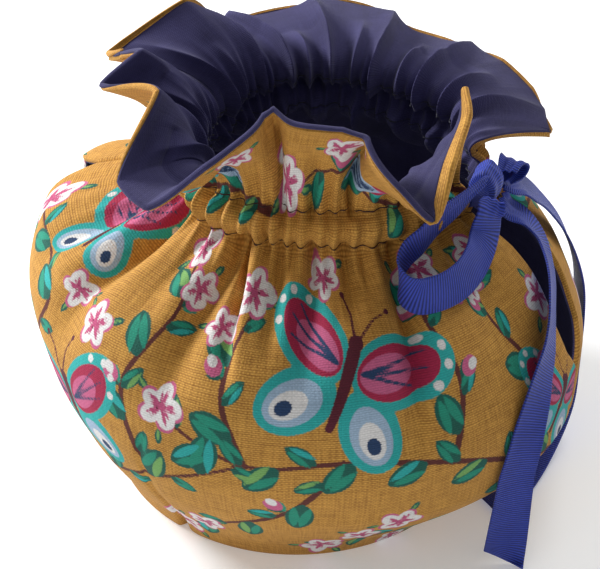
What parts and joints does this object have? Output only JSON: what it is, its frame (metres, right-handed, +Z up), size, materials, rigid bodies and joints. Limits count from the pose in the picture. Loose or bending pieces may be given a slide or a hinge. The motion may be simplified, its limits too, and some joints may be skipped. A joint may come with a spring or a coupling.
{
  "type": "tea cosy",
  "caption": "Drawstring tea cosy of printed cotton with a dark lining, a gathered ruffle at the neck, and a ribbon tied in a bow over the handle slit.",
  "frame": {"origin": "under the middle of the bounding box, in the plane of the hem", "axes": "+Z up out of the ruffle, +X toward the handle slit, -X toward the spout hole, -Y to the printed front"},
  "size_m": [0.1692, 0.165, 0.1391],
  "materials": {
    "printed_cloth": "coarse plain weave with a matt print of birds, branches and blossoms",
    "dark_lining": "plain matt cotton",
    "ribbed_ribbon": "grosgrain with a soft sheen"
  },
  "bodies": {
    "root": {"outer_front": "printed_cloth", "outer_back": "printed_cloth", "lining": "dark_lining", "ribbon_knot": "ribbed_ribbon", "ribbon_loop_front": "ribbed_ribbon", "ribbon_loop_back": "ribbed_ribbon", "ribbon_tail_front": "ribbed_ribbon", "ribbon_tail_back": "ribbed_ribbon"}
  },
  "joints": []
}
